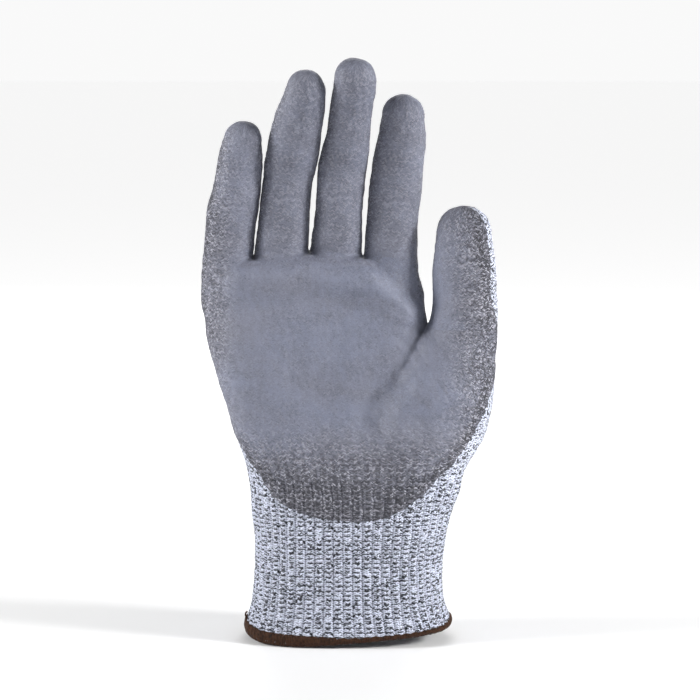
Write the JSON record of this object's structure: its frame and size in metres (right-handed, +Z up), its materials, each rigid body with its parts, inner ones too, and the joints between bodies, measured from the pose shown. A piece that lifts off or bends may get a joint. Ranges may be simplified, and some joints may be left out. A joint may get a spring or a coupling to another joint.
{
  "type": "cut resistant glove",
  "caption": "Right-hand seamless knitted cut resistant glove with a dipped palm and fingertips, a ribbed elastic cuff and an overlocked hem; jointed at the wrist, knuckles and thumb.",
  "frame": {"origin": "on the surface that the hem stands on, under the middle of the glove's box", "axes": "+Z up from the cuff to the fingertips, -Y the way the palm faces, +X towards the thumb"},
  "size_m": [0.1224, 0.0632, 0.2436],
  "materials": {
    "heather_knit": "salt-and-pepper knit, matt",
    "grey_coating": "thin polyurethane dip, satin",
    "elastic_yarn": "covered elastic yarn, matt",
    "brown_thread": "textured polyester thread, matt"
  },
  "bodies": {
    "cuff": {"hem_overlock": "brown_thread", "overlock_tail": "brown_thread", "cuff_knit": "heather_knit", "cuff_elastic_yarn": "elastic_yarn"},
    "hand": {"lower_palm_knit": "heather_knit", "upper_palm_knit": "heather_knit", "lower_palm_coating": "grey_coating", "upper_palm_coating": "grey_coating"},
    "little_base": {"little_base_knit": "heather_knit", "little_base_coating": "grey_coating"},
    "little_middle": {"little_middle_knit": "heather_knit", "little_middle_coating": "grey_coating"},
    "little_tip": {"little_tip_knit": "heather_knit", "little_tip_coating": "grey_coating"},
    "ring_base": {"ring_base_knit": "heather_knit", "ring_base_coating": "grey_coating"},
    "ring_middle": {"ring_middle_knit": "heather_knit", "ring_middle_coating": "grey_coating"},
    "ring_tip": {"ring_tip_knit": "heather_knit", "ring_tip_coating": "grey_coating"},
    "middle_base": {"middle_base_knit": "heather_knit", "middle_base_coating": "grey_coating"},
    "middle_middle": {"middle_middle_knit": "heather_knit", "middle_middle_coating": "grey_coating"},
    "middle_tip": {"middle_tip_knit": "heather_knit", "middle_tip_coating": "grey_coating"},
    "index_base": {"index_base_knit": "heather_knit", "index_base_coating": "grey_coating"},
    "index_middle": {"index_middle_knit": "heather_knit", "index_middle_coating": "grey_coating"},
    "index_tip": {"index_tip_knit": "heather_knit", "index_tip_coating": "grey_coating"},
    "thumb_base": {"thumb_base_knit": "heather_knit", "thumb_base_coating": "grey_coating"},
    "thumb_tip": {"thumb_tip_knit": "heather_knit", "thumb_tip_coating": "grey_coating"}
  },
  "joints": [
    {"name": "wrist_bend", "type": "hinge", "parent": "cuff", "child": "hand", "pos_m": [-0.00063, 0.00362, 0.061], "axis": [1, 0, 0], "range_deg": [-20, 20], "stiffness_Nm_per_rad": 0.6},
    {"name": "little_knuckle", "type": "hinge", "parent": "hand", "child": "little_base", "pos_m": [-0.04993, 0.00212, 0.157], "axis": [0.9907, 0, -0.1357], "range_deg": [-8, 55], "stiffness_Nm_per_rad": 0.03},
    {"name": "little_middle_joint", "type": "hinge", "parent": "little_base", "child": "little_middle", "pos_m": [-0.04644, -0.0015, 0.18251], "axis": [0.9907, 0, -0.1357], "range_deg": [-8, 55], "stiffness_Nm_per_rad": 0.012},
    {"name": "little_tip_joint", "type": "hinge", "parent": "little_middle", "child": "little_tip", "pos_m": [-0.04402, -0.0066, 0.20013], "axis": [0.9907, 0, -0.1357], "range_deg": [-10, 36], "stiffness_Nm_per_rad": 0.004},
    {"name": "ring_knuckle", "type": "hinge", "parent": "hand", "child": "ring_base", "pos_m": [-0.02793, 0.00212, 0.1595], "axis": [0.9898, 0, -0.1426], "range_deg": [-9, 55], "stiffness_Nm_per_rad": 0.03},
    {"name": "ring_middle_joint", "type": "hinge", "parent": "ring_base", "child": "ring_middle", "pos_m": [-0.02272, -0.00367, 0.19567], "axis": [0.9898, 0, -0.1426], "range_deg": [-14, 55], "stiffness_Nm_per_rad": 0.012},
    {"name": "ring_tip_joint", "type": "hinge", "parent": "ring_middle", "child": "ring_tip", "pos_m": [-0.01917, -0.01422, 0.22027], "axis": [0.9898, 0, -0.1426], "range_deg": [-10, 36], "stiffness_Nm_per_rad": 0.004},
    {"name": "middle_knuckle", "type": "hinge", "parent": "hand", "child": "middle_base", "pos_m": [-0.00523, 0.00212, 0.1605], "axis": [0.9952, 0, -0.0976], "range_deg": [-10, 55], "stiffness_Nm_per_rad": 0.03},
    {"name": "middle_middle_joint", "type": "hinge", "parent": "middle_base", "child": "middle_middle", "pos_m": [-0.00148, -0.00465, 0.19872], "axis": [0.9952, 0, -0.0976], "range_deg": [-14, 55], "stiffness_Nm_per_rad": 0.012},
    {"name": "middle_tip_joint", "type": "hinge", "parent": "middle_middle", "child": "middle_tip", "pos_m": [0.00101, -0.01604, 0.22418], "axis": [0.9952, 0, -0.0976], "range_deg": [-10, 36], "stiffness_Nm_per_rad": 0.004},
    {"name": "index_knuckle", "type": "hinge", "parent": "hand", "child": "index_base", "pos_m": [0.01737, 0.00212, 0.157], "axis": [0.9976, 0, -0.0698], "range_deg": [-4, 55], "stiffness_Nm_per_rad": 0.03},
    {"name": "index_middle_joint", "type": "hinge", "parent": "index_base", "child": "index_middle", "pos_m": [0.01963, -0.00015, 0.18934], "axis": [0.9976, 0, -0.0698], "range_deg": [-8, 55], "stiffness_Nm_per_rad": 0.012},
    {"name": "index_tip_joint", "type": "hinge", "parent": "index_middle", "child": "index_tip", "pos_m": [0.0211, -0.00462, 0.21032], "axis": [0.9976, 0, -0.0698], "range_deg": [-8, 36], "stiffness_Nm_per_rad": 0.004},
    {"name": "thumb_swing", "type": "hinge", "parent": "hand", "child": "thumb_base", "pos_m": [0.04767, -0.00338, 0.1225], "axis": [-0.9658, 0.2588, 0.0175], "range_deg": [-40, 10], "stiffness_Nm_per_rad": 0.03},
    {"name": "thumb_joint", "type": "hinge", "parent": "thumb_base", "child": "thumb_tip", "pos_m": [0.04816, -0.00351, 0.1515], "axis": [-0.6427, 0.7659, 0.0175], "range_deg": [-25, 6], "stiffness_Nm_per_rad": 0.012}
  ],
  "couplings": [
    {"joint": "little_tip_joint", "follows": "little_middle_joint", "ratio": 0.6545},
    {"joint": "ring_tip_joint", "follows": "ring_middle_joint", "ratio": 0.6545},
    {"joint": "middle_tip_joint", "follows": "middle_middle_joint", "ratio": 0.6545},
    {"joint": "index_tip_joint", "follows": "index_middle_joint", "ratio": 0.6545}
  ]
}
